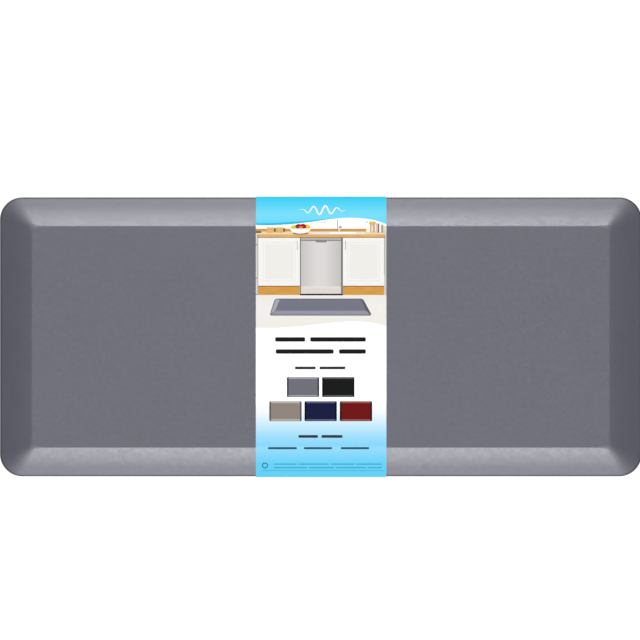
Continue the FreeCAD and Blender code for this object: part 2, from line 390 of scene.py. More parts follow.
def cushion_rings(inset, drop, rim_z):
    """Rings of points from the rim up over the border and the crease to the flat field."""
    rings = rim_rings(inset, drop, rim_z)
    foot = rings[-1]
    crown = outline(CREASE_X, CREASE_Y, FIELD_RADIUS)
    foot_z, top = foot[0][2], SKIN_HIGH.z - drop
    rise = top - foot_z
    slope = rise * GENTLE / SIDE_BEVEL
    shares = [k / BEVEL_STEPS for k in range(1, BEVEL_STEPS - 2)]
    shares += [1 - gap / SIDE_BEVEL for gap in NEAR_CREASE] + [1.0]
    for share in sorted(shares):
        out = (1 - share) * SIDE_BEVEL
        ring = []
        for start, end in zip(foot, crown):
            reach = crease_round(*end)
            height = foot_z + rise * border_rise(share)
            if out < reach:
                height = top - slope * (reach + out) ** 2 / (4 * reach)
            ring.append((*mix(start[:2], end, share), height))
        rings.append(ring)
    for inward in reversed(NEAR_CREASE):
        ring = []
        for x, y in outline(CREASE_X - inward, CREASE_Y - inward, max(FIELD_RADIUS - inward, 0)):
            reach = crease_round(x, y)
            ring.append((x, y, top - slope * max(reach - inward, 0) ** 2 / (4 * reach)))
        rings.append(ring)
    return rings


def add_cushion_surface(bm, inset, drop, rim_z):
    """Add the border rings and the field's grid to bm, and return the rim's vertices."""
    rings = cushion_rings(inset, drop, rim_z)
    rim_count = RIM_STEPS + 2
    rows = []
    for index, ring in enumerate(rings):
        share = min(1, index / rim_count)
        rows.append([bm.verts.new((x, y, z + share * hand_feel(x, y))) for x, y, z in ring])
    for lower, upper in zip(rows, rows[1:]):
        bridge(bm, upper, lower)
    half_x, half_y = max(p[0] for p in rings[-1]), max(p[1] for p in rings[-1])
    grid = []
    for j in range(SHORT_STEPS + 1):
        y = half_y * (2 * j / SHORT_STEPS - 1)
        places = [(half_x * (2 * i / LONG_STEPS - 1), y) for i in range(LONG_STEPS + 1)]
        grid.append([bm.verts.new((x, y, SKIN_HIGH.z - drop + hand_feel(x, y))) for x, y in places])
    for low_row, high_row in zip(grid, grid[1:]):
        for i in range(LONG_STEPS):
            bm.faces.new((low_row[i], low_row[i + 1], high_row[i + 1], high_row[i]))
    return rows[0]


def bridge(bm, first, second):
    """Join two rings of equal count with a band of faces."""
    count = len(first)
    for k in range(count):
        after = (k + 1) % count
        bm.faces.new((first[k], second[k], second[after], first[after]))


def make_skin():
    """Thin skin with a pillowed border, open under the foam, its rim closed below."""
    bm = bmesh.new()
    outer = add_cushion_surface(bm, 0, 0, SKIN_LOW.z)
    inner = add_cushion_surface(bm, SKIN_THICKNESS, SKIN_THICKNESS, SKIN_LOW.z)
    bridge(bm, outer, inner)
    bmesh.ops.remove_doubles(bm, verts=bm.verts, dist=WELD_REACH)
    mesh = mesh_from("moulded_skin", bm)
    skin = finish_piece("moulded_skin", mesh, "mat", [skin_material()], ["top_skin"])


def make_foam():
    """Foam block that fills the skin, closed underneath."""
    bm = bmesh.new()
    clear = SKIN_THICKNESS + FOAM_GAP
    rim = add_cushion_surface(bm, clear, clear, FOAM_LOW.z)
    bm.faces.new(rim)
    bmesh.ops.remove_doubles(bm, verts=bm.verts, dist=WELD_REACH)
    mesh = mesh_from("foam_filling", bm)
    foam = finish_piece("foam_filling", mesh, "mat", [foam_material()], ["foam_core"])


def add_slab(bm, levels):
    """Add a closed slab of stacked outlines, each level an (inset, height)."""
    rows = []
    for inset, height in levels:
        ring = outline(HALF_LENGTH - inset, HALF_WIDTH - inset, CORNER_RADIUS - inset)
        rows.append([bm.verts.new((x, y, height)) for x, y in ring])
    for lower, upper in zip(rows, rows[1:]):
        bridge(bm, upper, lower)
    bm.faces.new(rows[0])
    bm.faces.new(rows[-1])


def add_dome_bar(bm, centre, half_length, half_width, low, high):
    """Add a bar along X with rounded ends and a rounded underside."""
    rings = []
    for level in range(DOME_LEVELS + 1):
        angle = level / DOME_LEVELS * math.pi / 2
        shrink = half_width * DOME_TAPER * (1 - math.cos(angle))
        z = high + (low - high) * math.sin(angle)
        ring = []
        for end in (1, -1):
            for k in range(DOME_STEPS + 1):
                turn = (k / DOME_STEPS - 0.5) * math.pi
                x = end * (half_length - half_width) + end * (half_width - shrink) * math.cos(turn)
                y = end * (half_width - shrink) * math.sin(turn)
                ring.append(bm.verts.new((centre[0] + x, centre[1] + y, z)))
        rings.append(ring)
    for upper, lower in zip(rings, rings[1:]):
        bridge(bm, upper, lower)
    bm.faces.new(rings[0])
    bm.faces.new(rings[-1])


def make_base():
    """Non-slip bottom: a thin sheet with long rounded ribs moulded under it."""
    rubber = rubber_material()
    sheet_low = BASE_LOW.z + RIB_HEIGHT
    bm = bmesh.new()
    soft, nip = 0.35 * MM, 0.1 * MM
    trim_in, trim_down = 0.25 * MM, 0.2 * MM
    levels = [(soft, sheet_low), (nip, sheet_low + nip), (0, sheet_low + soft)]
    levels += [(0, BASE_HIGH.z - trim_down), (trim_in, BASE_HIGH.z)]
    add_slab(bm, levels)
    mesh = mesh_from("bottom_sheet", bm)
    sheet = finish_piece("bottom_sheet", mesh, "mat", [rubber], ["grip_base"])
    bm = bmesh.new()
    first, half_rib = HALF_WIDTH - RIB_MARGIN, HALF_LENGTH - RIB_MARGIN
    pitch = 2 * first / (RIB_COUNT - 1)
    for k in range(RIB_COUNT):
        centre = (0, -first + k * pitch)
        add_dome_bar(bm, centre, half_rib, RIB_WIDTH / 2, BASE_LOW.z, sheet_low + RIB_SEAT)
    mesh = mesh_from("grip_ribs", bm)
    ribs = finish_piece("grip_ribs", mesh, "mat", [rubber], ["grip_base"])


# ---------------------------------------------------------------- the sleeve's shape
class Wrap:
    """The sleeve's outer face seen from its end: straight runs joined by arcs, by arc length."""

    def __init__(self, corners):
        """Corners are (y, z, radius) in order; the first and last have no radius."""
        self.runs = []
        self.length = 0
        cuts = [Vector(corners[0][:2])]
        arcs = []
        for before, corner, after in zip(corners, corners[1:], corners[2:]):
            point = Vector(corner[:2])
            back = (Vector(before[:2]) - point).normalized()
            ahead = (Vector(after[:2]) - point).normalized()
            half = back.angle(ahead) / 2
            reach = corner[2] / math.tan(half)
            centre = point + (back + ahead).normalized() * corner[2] / math.sin(half)
            arcs.append((point + back * reach, centre, math.pi - 2 * half, corner[2]))
            cuts += [point + back * reach, point + ahead * reach]
        cuts.append(Vector(corners[-1][:2]))
        for k, (start, end) in enumerate(zip(cuts[::2], cuts[1::2])):
            self.add((end - start).length, "line", start, (end - start).normalized())
            if k < len(arcs):
                start, centre, turn, radius = arcs[k]
                self.add(turn * radius, "arc", start - centre, centre)

    def add(self, length, kind, *facts):
        self.runs.append((self.length, length, kind, facts))
        self.length += length

    def at(self, s):
        """Point on the path and its outward direction at arc length s."""
        index = bisect.bisect_right([run[0] for run in self.runs], s) - 1
        start, length, kind, facts = self.runs[max(index, 0)]
        travelled = s - start
        if kind == "line":
            origin, direction = facts
            return origin + direction * travelled, Vector((direction.y, -direction.x))
        arm, centre = facts
        turned = arm.copy()
        turned.rotate(Matrix.Rotation(travelled / arm.length, 2))
        return centre + turned, turned.normalized()

    def stations(self, longest):
        """Arc lengths that follow every bend closely and split straight runs evenly."""
        places = [0.0]
        for start, length, kind, _ in self.runs:
            count = math.ceil(length / longest)
            if kind == "arc":
                count = max(LEAST_ARC_STEPS, count)
            places += [start + length * k / count for k in range(1, count + 1)]
        return places

    def front(self, y):
        """Arc length of the place on the sleeve's front that lies at y in plan."""
        low, high = self.runs[FIRST_SHOULDER][0], self.runs[LAST_SHOULDER + 1][0]
        for _ in range(HALVINGS):
            middle = (low + high) / 2
            if self.at(middle)[0].x > y:
                low = middle
            else:
                high = middle
        return (low + high) / 2


FIRST_SHOULDER, LAST_SHOULDER = 3, 9  # the wrap's runs that bend round the front's two long edges
LEAST_ARC_STEPS = 4
HALVINGS = 36
STATION_GAP = 8 * MM
FRONT_BOW = 0.5 * MM
EDGE_CURL = 1.8 * MM
COLUMNS = 20


def sleeve_corners():
    """Corners of the sleeve's outer face, from the inner flap's free edge round to the outer's."""
    wall = CARD_HIGH.y
    fold = CARD_THICKNESS + 0.25 * MM
    shoulder, soft = 1.2 * MM, 4 * MM
    return [
        (TAPE_LOW.y - FLAP_MARGIN, TAPE_HIGH.z, 0),
        (wall, TAPE_HIGH.z, fold),
        (wall, SHOULDER_Z, shoulder),
        (CREASE_Y, CARD_HIGH.z, soft),
        (-CREASE_Y, CARD_HIGH.z, soft),
        (-wall, SHOULDER_Z, shoulder),
        (-wall, CARD_LOW.z, fold),
        (TAPE_HIGH.y + FLAP_MARGIN, CARD_LOW.z, 0),
    ]


WRAP = Wrap(sleeve_corners())
STATIONS = WRAP.stations(STATION_GAP)
COLUMN_X = [SLEEVE_X + SLEEVE_HALF * (2 * k / COLUMNS - 1) for k in range(COLUMNS + 1)]


def swell(y):
    """How far the mat's full border lifts the sleeve above a straight run."""
    share = (HALF_WIDTH - abs(y)) / SIDE_BEVEL
    return (SKIN_HIGH.z - SHOULDER_Z) * (border_rise(share) - share) if 0 < share < 1 else 0


def bow(x, y):
    """How far the sleeve's front stands off the mat: a slight belly and curled side edges."""
    across = max(0, 1 - (abs(y) / HALF_WIDTH) ** 2)
    along = abs(x - SLEEVE_X) / SLEEVE_HALF
    return across * (FRONT_BOW + EDGE_CURL * along ** 4)


def on_sleeve(x, s, height):
    """Point at x and arc length s, height above the sleeve's outer face."""
    point, outward = WRAP.at(s)
    raised = point + outward * height
    lift = swell(point.x) + bow(x, point.x) if point.y >= SHOULDER_Z else 0
    return Vector((x, raised.x, raised.y + lift))


def sleeve_solid(name, verts, faces, low, high, bare=0):
    """Closed thin solid over a flat mesh of (x, s) places, from height low to height high.

    Bare is the index of the material on its underside and its cut edges.
    """
    bm = bmesh.new()
    top = [bm.verts.new(on_sleeve(x, s, high)) for x, s in verts]
    bottom = [bm.verts.new(on_sleeve(x, s, low)) for x, s in verts]
    edges = {}
    for face in faces:
        bm.faces.new([top[k] for k in face])
        bm.faces.new([bottom[k] for k in reversed(face)]).material_index = bare
        edges |= dict.fromkeys(zip(face, face[1:] + face[:1]))
    for a, b in edges:
        if (b, a) not in edges:
            bm.faces.new((top[a], bottom[a], bottom[b], top[b])).material_index = bare
    return mesh_from(name, bm)


def make_card():
    """The board itself: coated outside, bare inside and on its cut edges."""
    verts = [(x, s) for s in STATIONS for x in COLUMN_X]
    wide = len(COLUMN_X)
    faces = []
    for row in range(len(STATIONS) - 1):
        for k in range(COLUMNS):
            corner = row * wide + k
            faces.append([corner, corner + 1, corner + 1 + wide, corner + wide])
    mesh = sleeve_solid("printed_board", verts, faces, -CARD_THICKNESS, 0, bare=1)
    coated = board_material("coated_board", (0.83, 0.83, 0.83, 1), 0.55, 0.012)
    bare = board_material("bare_board", (0.55, 0.52, 0.47, 1), 0.9, 0.08)
    finish_piece("printed_board", mesh, "sleeve", [coated, bare], ["sleeve_card"])


def dress_tape():
    """Give the hidden seam tape, which keeps its CAD shape, a faintly ribbed glue film."""
    colour = (0.72, 0.69, 0.58, 1)
    shade = Shade("seam_tape", colour, 0.4, Specular_IOR_Level=0.5)
    shade.set("Base Color", shade.vary(shade.streaks((40, 1500, 40)), colour, 0.08))
    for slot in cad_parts["sleeve_glue_tape"].material_slots:
        slot.link = "OBJECT"
        slot.material = shade.material


# ---------------------------------------------------------------- the sleeve's print
# Places on the print are in millimetres: u along the mat from the sleeve's centre, v across
# it from the mat's centre, measured in plan on the front and unrolled past its edges.
LAYER = 0.03 * MM
LAYER_SINK = 0.5
EDGE_INSET = 0.4
EDGE_V = CARD_HIGH.y / MM - EDGE_INSET
CUT_MARGIN = 0.1 * MM
CUT_REACH = 0.0001 * MM


def unrolled(v):
    """Arc length of the place v, which may run past the front's edge and on underneath."""
    kept = max(-EDGE_V, min(EDGE_V, v))
    return WRAP.front(kept * MM) + (kept - v) * MM


def ink(name, shape, layer, material):
    """Print one closed shape of (u, v) places as a thin film that follows the board."""
    bm = bmesh.new()
    corners = [bm.verts.new((SLEEVE_X + u * MM, unrolled(v), 0)) for u, v in shape]
    bm.faces.new(corners)
    low = Vector(map(min, zip(*(c.co for c in corners))))
    high = Vector(map(max, zip(*(c.co for c in corners))))
    for axis, lines in ((0, COLUMN_X), (1, STATIONS)):
        normal = Vector((axis == 0, axis == 1, 0))
        for line in lines:
            if low[axis] + CUT_MARGIN < line < high[axis] - CUT_MARGIN:
                everything = bm.verts[:] + bm.edges[:] + bm.faces[:]
                cut = {"plane_co": normal * line, "plane_no": normal, "dist": CUT_REACH}
                bmesh.ops.bisect_plane(bm, geom=everything, **cut)
    bmesh.ops.triangulate(bm, faces=bm.faces)
    bmesh.ops.recalc_face_normals(bm, faces=bm.faces)
    bm.verts.index_update()
    verts = [(v.co.x, v.co.y) for v in bm.verts]
    faces = [[v.index for v in f.verts] for f in bm.faces]
    bm.free()
    mesh = sleeve_solid(name, verts, faces, -LAYER_SINK * LAYER, layer * LAYER)
    finish_piece(name, mesh, "sleeve", [material])


def rectangle(u0, v0, u1, v1):
    return [(u0, v0), (u1, v0), (u1, v1), (u0, v1)]


def rounded(u0, v0, u1, v1, radius, steps=5):
    """Rectangle with rounded corners."""
    points = []
    for turn, (u, v) in enumerate(((u1, v0), (u1, v1), (u0, v1), (u0, v0))):
        centre_u = u + (radius if u == u0 else -radius)
        centre_v = v + (radius if v == v0 else -radius)
        for k in range(steps + 1):
            angle = (turn - 1 + k / steps) * math.pi / 2
            points.append((centre_u + radius * math.cos(angle),
                           centre_v + radius * math.sin(angle)))
    return points


def ellipse(u, v, half_u, half_v, start=0.0, end=360.0, steps=28):
    """Ellipse, or a segment of one between two angles."""
    count = steps if end - start >= 360 else steps + 1
    angles = [math.radians(start + (end - start) * k / steps) for k in range(count)]
    return [(u + half_u * math.cos(a), v + half_v * math.sin(a)) for a in angles]


def smooth_line(points, steps=8):
    """Flowing line through a few given points."""
    ends = [points[0]] + points + [points[-1]]
    line = []
    for a, b, c, d in zip(ends, ends[1:], ends[2:], ends[3:]):
        for k in range(steps):
            t = k / steps
            spot = []
            for p0, p1, p2, p3 in zip(a, b, c, d):
                spot.append(0.5 * (2 * p1 + (p2 - p0) * t + (2 * p0 - 5 * p1 + 4 * p2 - p3) * t ** 2
                                   + (3 * p1 - p0 - 3 * p2 + p3) * t ** 3))
            line.append(tuple(spot))
    return line + [points[-1]]


HALF_U = SLEEVE_HALF / MM - 0.05
WRAP_OVER = 238.0
WAVE_RISE = 3.4
HEADER_WAVE = [(-HALF_U, 174.9), (-77, 174.7), (-45.6, 176.6), (-14.3, 180.2), (17, 184.6),
               (48.5, 186.4), (80, 183.4), (HALF_U, 176.4)]
FLOOR_WAVE = [(-HALF_U, 14.1), (-61, 14.4), (-15, 18.4), (20, 22.5), (52, 24.2), (80, 22.0),
              (HALF_U, 16.9)]


def band(name, wave, v, layer, material):
    """Print the area between a flowing line across the sleeve and the straight line at v."""
    line = smooth_line(wave)
    ink(name, line + [(HALF_U, v), (-HALF_U, v)], layer, material)


def ripple(u, v, half_length, height, thick, waves):
    """Flowing ribbon of a few even waves, thinning to nothing at both ends."""
    upper, lower = [], []
    steps = 16 * waves
    for k in range(steps + 1):
        share = k / steps
        swing = math.sin(share * math.pi)
        turn = share * waves * 2 * math.pi
        place = Vector((u + half_length * (2 * share - 1), v + height * swing * math.sin(turn)))
        slope = height * swing * math.cos(turn) * waves * math.pi / half_length
        aside = Vector((-slope, 1)).normalized() * thick * (0.12 + swing)
        upper.append(tuple(place + aside))
        lower.append(tuple(place - aside))
    return lower + upper[::-1]


def print_header():
    """Sky-blue band with a flowing lower edge, and a plain ripple in place of a name."""
    sky = [(174, (60, 205, 245)), (181, (112, 223, 253)), (192, (120, 226, 255)),
           (208, (82, 217, 254)), (218.5, (48, 211, 253))]
    band("print_header", HEADER_WAVE, WRAP_OVER, 1, fading_ink("sky_fade", sky))
    under = smooth_line(HEADER_WAVE)
    under = under[:len(under) * 5 // 8]
    last = len(under) - 1
    crest = []
    for k, (u, v) in enumerate(under[:last]):
        crest.append((u, v + WAVE_RISE * math.sin(math.pi * (0.25 + 0.75 * k / last))))
    ink("print_wave", under + crest[::-1], 2, INKS["wave"])
    ink("print_ripple", ripple(2, 198.5, 37, 7.0, 1.15, 4), 2, INKS["paper"])


DOOR_TOP, DOOR_FOOT, PLINTH_FOOT = 155.5, 80.0, 65.6
PLINTH_SHADE = 1.3
HANDLE_FOOT, HANDLE_TOP, HANDLE_HALF = 135.6, 150.6, 0.55
NICHE_LEFT, NICHE_RIGHT = -33.2, 34.1
STEEL_LEFT, STEEL_RIGHT = -31.6, 31.2
WORKTOP_BACK, WORKTOP_TOP, WORKTOP_EDGE = 169.4, 164.9, 160.2
WORKTOP_LEFT, WORKTOP_RIGHT = -99.9, 99.8


def panel(name, shape, layers):
    """Print a rectangle with others inset in it, each an (inset, ink), one layer up each time."""
    u0, v0, u1, v1 = shape
    for k, (inset, colour) in enumerate(layers):
        inner = rectangle(u0 + inset, v0 + inset, u1 - inset, v1 - inset)
        ink(f"print_{name}_{k + 1}", inner, 2 + k, INKS[colour])


def print_cabinet(side, u0, u1, handle_u):
    """One white cabinet: door with a recessed panel, handle and wooden plinth."""
    door = (u0, DOOR_FOOT, u1, DOOR_TOP)
    layers = [(0, "carcass"), (7.2, "groove"), (8.0, "carcass"), (11.0, "groove_soft"),
              (11.8, "panel")]
    panel(f"{side}_door", door, layers)
    handle = rounded(handle_u - HANDLE_HALF, HANDLE_FOOT, handle_u + HANDLE_HALF, HANDLE_TOP, 0.5)
    ink(f"print_{side}_handle", handle, 3, INKS["handle"])
    ink(f"print_{side}_plinth", rectangle(u0, PLINTH_FOOT, u1, DOOR_FOOT), 2, WOODS["plinth"])
    shade = rectangle(u0, DOOR_FOOT - PLINTH_SHADE, u1, DOOR_FOOT)
    ink(f"print_{side}_plinth_shade", shade, 3, INKS["wood_dark"])


def print_appliance():
    """Plain steel-fronted appliance between the cabinets."""
    def steel(foot, top):
        return rectangle(STEEL_LEFT, foot, STEEL_RIGHT, top)
    ink("print_niche", rectangle(NICHE_LEFT, PLINTH_FOOT, NICHE_RIGHT, DOOR_TOP), 2, INKS["niche"])
    ink("print_steel_band", steel(151.4, 155.0), 3, INKS["steel_dark"])
    sheen = [(STEEL_LEFT, (199, 196, 194)), (-22, (208, 205, 203)), (-6, (221, 218, 217)),
             (6, (219, 216, 215)), (20, (206, 203, 201)), (STEEL_RIGHT, (196, 193, 191))]
    stops = [(SLEEVE_X + u * MM, srgb(*colour)) for u, colour in sheen]
    ink("print_steel_front", steel(78.6, 150.2), 3, ink_material("ink_steel_front", stops, "X"))
    ink("print_steel_line", steel(77.9, 78.6), 3, INKS["carcass"])
    ink("print_steel_kick", steel(67.6, 77.9), 3, INKS["steel_low"])
    ink("print_steel_grip", rounded(-8.6, 147.8, 8.6, 150.4, 0.8), 4, INKS["steel_shade"])
    foot = rectangle(NICHE_LEFT, PLINTH_FOOT - 0.6, NICHE_RIGHT, 67.2)
    ink("print_appliance_foot", foot, 3, INKS["black"])


def print_worktop():
    """Wooden worktop with a pale inset sink and a tap."""
    back = rectangle(-HALF_U, WORKTOP_TOP, 72, WORKTOP_BACK)
    top = rectangle(-HALF_U, WORKTOP_EDGE, HALF_U, WORKTOP_TOP)
    edge = rectangle(WORKTOP_LEFT, DOOR_TOP, WORKTOP_RIGHT, WORKTOP_EDGE)
    line = rectangle(WORKTOP_LEFT, DOOR_TOP - 0.5, WORKTOP_RIGHT, DOOR_TOP + 0.3)
    ink("print_backboard", back, 2, WOODS["back"])
    ink("print_worktop", top, 2, WOODS["worktop"])
    ink("print_worktop_edge", edge, 2, WOODS["edge"])
    ink("print_worktop_line", line, 3, INKS["wood_dark"])
    ink("print_sink", rounded(-17, 160.6, 69, 164.5, 1.6), 3, INKS["sink"])
    ink("print_sink_basin", rounded(14, 161.4, 54, 164.2, 1.2), 4, INKS["paper"])
    ink("print_tap_post", rectangle(25.1, 169.6, 26.2, 183.4), 3, INKS["niche"])
    ink("print_tap_body", rounded(26.8, 163.6, 29.6, 170.4, 0.8), 5, INKS["steel_low"])
    ink("print_tap_lever", rounded(27.6, 170.8, 32.4, 172.9, 0.6), 4, INKS["lever"])


def print_boxes():
    """Two wooden boxes with pale lids, seen a little from the right."""
    for k, u in enumerate((-85.2, -70.7)):
        name = f"print_box_{k + 1}"
        ink(f"{name}_side", rectangle(u + 10.6, 164.2, u + 14.4, 170.2), 3, INKS["wood_dark"])
        ink(name, rounded(u, 163.1, u + 11.2, 171.2, 0.6), 4, WOODS["box"])
        ink(f"{name}_lid", rounded(u + 0.6, 169.9, u + 12.2, 171.9, 0.5), 5, INKS["box_lid"])


def print_fruit_bowl():
    """White bowl heaped with fruit, each a (u, v, half width, half height, layer, ink)."""
    ink("print_bowl_shade", ellipse(-32.0, 161.9, 12.5, 1.6), 4, INKS["wood_dark"])
    ink("print_bowl", ellipse(-32.4, 169.4, 15.9, 7.8, 180, 360), 5, INKS["paper"])
    fruits = ((-42.2, 171.4, 5.2, 3.3, 6, "lime"), (-22.6, 171.6, 5.8, 4.2, 6, "yellow"),
              (-35.0, 172.6, 5.4, 3.9, 7, "red"), (-28.2, 172.9, 5.0, 3.9, 7, "red"),
              (-31.6, 171.2, 3.4, 2.2, 8, "orange"))
    for k, (*oval, layer, tone) in enumerate(fruits):
        ink(f"print_fruit_{k + 1}", ellipse(*oval), layer, INKS[tone])
    ink("print_bowl_lip", rounded(-48.6, 167.2, -16.4, 169.6, 1.1), 9, INKS["bowl"])


def print_hob_and_hooks():
    """Dark hob at the worktop's left end, and hooks on a rail above the sink."""
    ink("print_hob", rounded(-HALF_U, 162.9, -93.6, 164.9, 0.7), 4, INKS["black"])
    ink("print_hook_rail", rectangle(-17.4, 177.7, -11.2, 178.5), 3, INKS["steel_dark"])
    for k, u in enumerate((-5.0, 0.6, 5.4, 7.4)):
        hook = rounded(u - 0.6, 178.2, u + 0.6, 180.4, 0.4)
        ink(f"print_hook_{k + 1}", hook, 3, INKS["steel_dark"])
    ink("print_hook_right", rounded(71.1, 177.8, 72.5, 181.2, 0.5), 3, INKS["steel_shade"])


def print_jars():
    """Row of plain jars and bottles at the worktop's right end."""
    ink("print_plate", rounded(70.6, 163.9, 77.6, 169.3, 1.4), 4, INKS["carcass"])
    ink("print_jar", rounded(76.4, 163.6, 84.6, 176.6, 1.0), 5, INKS["jar"])
    ink("print_jar_shine", rectangle(79.0, 164.8, 80.8, 174.8), 6, INKS["bowl"])
    ink("print_jar_lid", rounded(75.0, 175.8, 85.4, 180.5, 1.2), 6, INKS["straw"])
    tones = ("blush", "brown", "bowl", "steel_shade", "blush", "steel_low")
    for k, tone in enumerate(tones):
        u = 85.6 + 2.85 * k
        top = min(178.2, 178.4 - 0.9 * k)
        ink(f"print_bottle_{k + 1}", rounded(u, 163.0, u + 2.5, top, 0.7), 4, INKS[tone])


def print_side_strips():
    """Narrow ends of whatever stands either side of the cabinets."""
    ink("print_left_end", rectangle(-HALF_U, PLINTH_FOOT, -99.4, 162.6), 2, INKS["steel_low"])
    ink("print_left_gap", rectangle(-99.4, PLINTH_FOOT, -98.5, WORKTOP_EDGE), 3, INKS["niche"])
    for k, v in enumerate((144.2, 92.0, 66.4)):
        knob = rectangle(-HALF_U, v - 0.6, -100.2, v + 0.6)
        ink(f"print_left_knob_{k + 1}", knob, 3, INKS["black"])
    ink("print_right_end", rectangle(98.7, PLINTH_FOOT, HALF_U, 162.6), 2, INKS["right_end"])
    ink("print_right_gap", rectangle(98.6, 96.0, 99.3, WORKTOP_EDGE), 3, INKS["steel_shade"])


def print_pictured_mat():
    """Small picture of the mat on the floor in front of the cabinets."""
    rim = [(-69.5, 59.9), (62.8, 59.9), (66.4, 58.0), (78.4, 35.9), (77.0, 33.3), (-78.6, 33.3),
           (-80.1, 35.6), (-72.8, 58.2)]
    left = [(-71.2, 58.6), (-64.4, 58.6), (-71.9, 41.2), (-78.9, 35.8)]
    front = [(-71.6, 41.2), (70.2, 41.2), (76.6, 35.0), (-78.4, 35.0)]
    field = [(-64.0, 58.8), (62.8, 58.8), (70.0, 41.4), (-71.5, 41.4)]
    ink("print_mat_rim", rim, 2, INKS["mat_rim"])
    ink("print_mat_left", left, 3, INKS["mat_left"])
    ink("print_mat_front", front, 3, INKS["mat_front"])
    ink("print_mat_foot", rectangle(-77.2, 34.0, 76.4, 35.0), 3, INKS["mat_foot"])
    ink("print_mat_field", field, 4, INKS["mat_field"])


def print_kitchen():
    """Simple drawn kitchen: cabinets either side of an appliance, and a mat on the floor."""
    floor = [(15, (241, 237, 231)), (45, (243, 240, 235)), (65, (240, 235, 229))]
    band("print_floor", FLOOR_WAVE, PLINTH_FOOT, 1, fading_ink("floor", floor))
    print_side_strips()
    print_cabinet("left", -98.4, -33.3, -37.3)
    print_cabinet("right", 34.2, 98.6, 38.1)
    print_appliance()
    print_worktop()
    print_boxes()
    print_fruit_bowl()
    print_hob_and_hooks()
    print_jars()
    print_pictured_mat()


SWATCH_WIDE, SWATCH_HIGH = 50.6, 31.2
SWATCH_SIDE, SWATCH_BEVEL = 2.6, 2.9
SWATCH_ROUND, SWATCH_RIM_UPPER, SWATCH_RIM_LOWER = 1.8, 0.3, 0.8


def print_swatch(name, u, v, tones):
    """Small picture of a mat in another colour, its upper left corner at (u, v).

    The tones are those of its flat field, its ends, its upper border and its lower one.
    """
    left, right, foot = u + SWATCH_SIDE, u + SWATCH_WIDE - SWATCH_SIDE, v - SWATCH_HIGH
    rise, dip = foot + SWATCH_BEVEL, v - SWATCH_BEVEL
    field, ends, upper, lower = [plain_ink(f"{name}_{k + 1}", tone) for k, tone in enumerate(tones)]
    ink(f"print_{name}_ends", rounded(u, foot, u + SWATCH_WIDE, v, SWATCH_ROUND), 2, ends)
    ink(f"print_{name}_upper", rectangle(left, dip, right, v - SWATCH_RIM_UPPER), 3, upper)
    ink(f"print_{name}_lower", rectangle(left, foot + SWATCH_RIM_LOWER, right, rise), 3, lower)
    ink(f"print_{name}_field", rectangle(left, rise, right, dip), 3, field)


def print_swatches():
    """Five other colours of mat, in two rows."""
    upper, lower = -63.0, -100.7
    swatches = {
        "grey": (-53.6, upper, ((111, 111, 122), (58, 58, 68), (160, 159, 167), (164, 164, 172))),
        "black": (1.5, upper, ((17, 19, 18), (3, 3, 4), (86, 88, 87), (92, 94, 92))),
        "taupe": (-81.1, lower, ((144, 133, 124), (92, 85, 80), (188, 180, 174), (196, 182, 174))),
        "navy": (-26.0, lower, ((17, 23, 62), (2, 3, 18), (92, 94, 128), (98, 100, 138))),
        "red": (29.2, lower, ((111, 14, 14), (38, 2, 4), (158, 84, 80), (168, 88, 88))),
    }
    for name, (u, v, tones) in swatches.items():
        print_swatch(name, u, v, tones)


BAR_ROUND = 0.3
TEXT_LINES = {  # the line's middle v, its height, its ink and each word's (start, end) along u
    "heading_upper": (-4.0, 6.8, "black", [(-72, -25), (-17, 70)]),
    "heading_lower": (-22.9, 6.8, "black", [(-71, 19.5), (28, 70)]),
    "colours_head": (-48.6, 4.2, "text", [(-41, -8.5), (-2.5, 38)]),
    "sizes_head": (-155.8, 4.2, "text", [(-35.5, -5), (0.5, 33.5)]),
    "sizes": (-174.2, 3.2, "text_blue", [(-83, -38), (-26.8, 17), (31, 75)]),
    "note_upper": (-199.3, 1.3, "note", [(-74, -38), (-35, 12), (15, 52), (55, 95)]),
    "note_lower": (-205.0, 1.3, "note", [(-74, -22), (-19, 20), (23, 70), (73, 95)]),
}


def print_text_bars():
    """Headings, sizes and care notes as plain bars, with no lettering."""
    for name, (v, height, tone, words) in TEXT_LINES.items():
        for k, (start, end) in enumerate(words):
            bar = rounded(start, v - height / 2, end, v + height / 2, height * BAR_ROUND, 3)
            ink(f"print_{name}_{k + 1}", bar, 3, INKS[tone])
    ink("print_note_rule", rectangle(-93, -210.0, 97, -209.4), 3, INKS["note"])
    ink("print_note_ring", ellipse(-88, -201.5, 4.6, 4.6), 3, INKS["text_blue"])
    ink("print_note_ring_inner", ellipse(-88, -201.5, 3.2, 3.2), 4, INKS["sky"])


def print_foot():
    """Lower part that fades from white to sky blue and folds round the mat's edge."""
    fade = [(-219.5, (96, 212, 252)), (-199, (98, 214, 252)), (-190, (122, 216, 254)),
            (-174.5, (150, 223, 254)), (-169.5, (132, 214, 252)), (-154, (164, 224, 252)),
            (-136, (206, 238, 253)), (-119, (244, 250, 254)), (-106, (255, 255, 255))]
    ink("print_foot", rectangle(-HALF_U, -WRAP_OVER, HALF_U, -104), 1, fading_ink("fade", fade))


